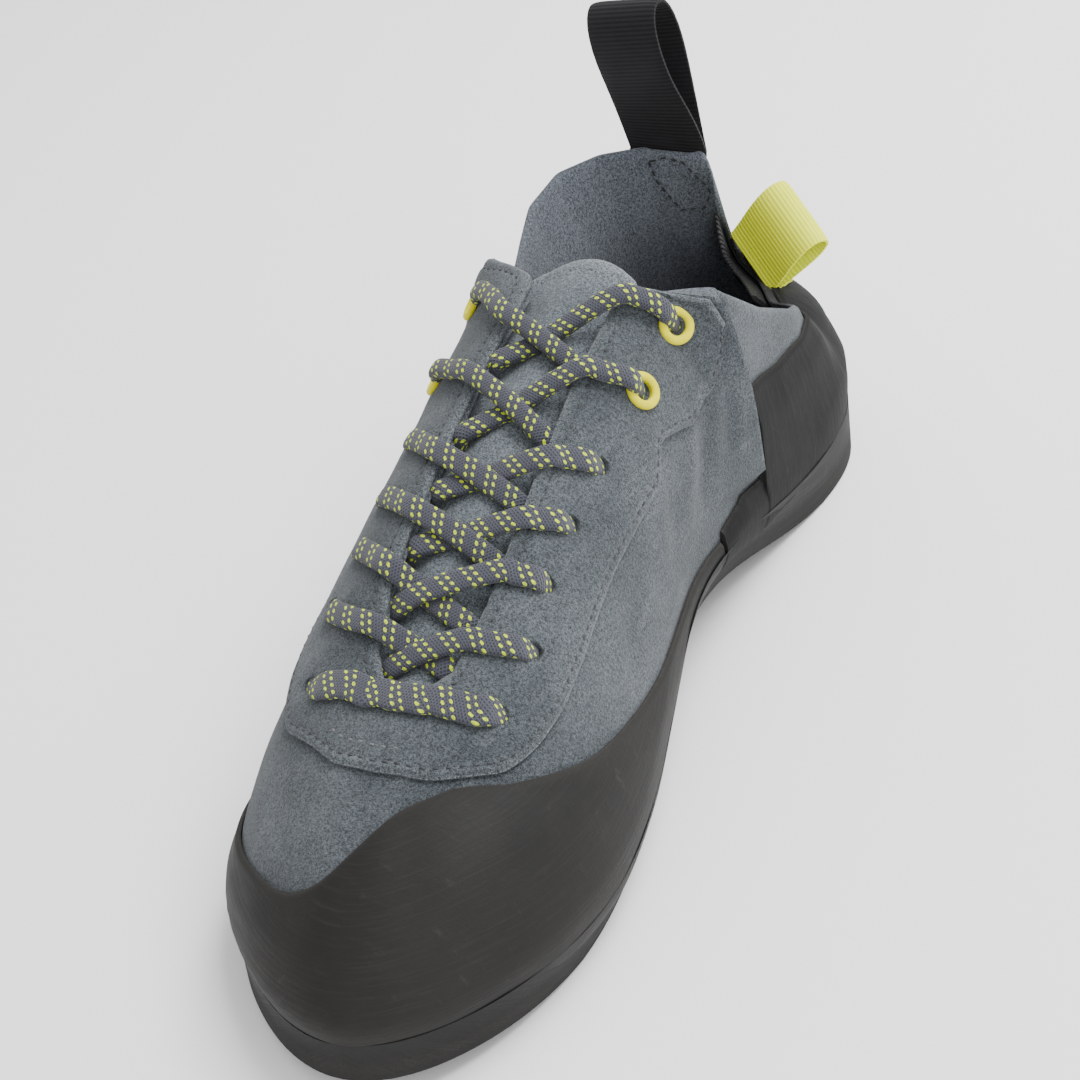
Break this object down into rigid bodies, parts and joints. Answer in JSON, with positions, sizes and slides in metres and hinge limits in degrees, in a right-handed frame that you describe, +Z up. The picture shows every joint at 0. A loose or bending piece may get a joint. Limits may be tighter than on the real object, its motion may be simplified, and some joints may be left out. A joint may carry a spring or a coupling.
{
  "type": "climbing shoe",
  "caption": "Right climbing shoe: suede upper laced to the toe, rubber rand and sole, and webbing pull loops at the heel.",
  "frame": {"origin": "on the floor under the middle of the shoe's box", "axes": "+Y from the toe to the heel, +X to the wearer's inner side, +Z up"},
  "size_m": [0.0884, 0.2598, 0.1236],
  "materials": {
    "suede": "matte",
    "rubber": "matte",
    "sole_rubber": "matte",
    "sock": "matte",
    "stretch": "matte",
    "lace": "matte",
    "black_webbing": "matte",
    "lime_webbing": "matte",
    "eyelet": "satin"
  },
  "bodies": {
    "root": {"outsole": "sole_rubber", "toe_rand": "rubber", "heel_rand": "rubber", "upper": "suede", "eyestay": "suede", "tongue": "suede", "insole": "sock", "heel_elastic": "stretch", "lace_bar": "lace", "lace_crossing_1": "lace", "lace_crossing_2": "lace", "lace_crossing_3": "lace", "lace_crossing_4": "lace", "lace_crossing_5": "lace", "lace_crossing_6": "lace", "eyelet_1": "eyelet", "eyelet_2": "eyelet", "eyelet_3": "eyelet", "eyelet_4": "eyelet", "pull_loop_side": "black_webbing", "pull_loop_back": "lime_webbing"}
  },
  "joints": []
}
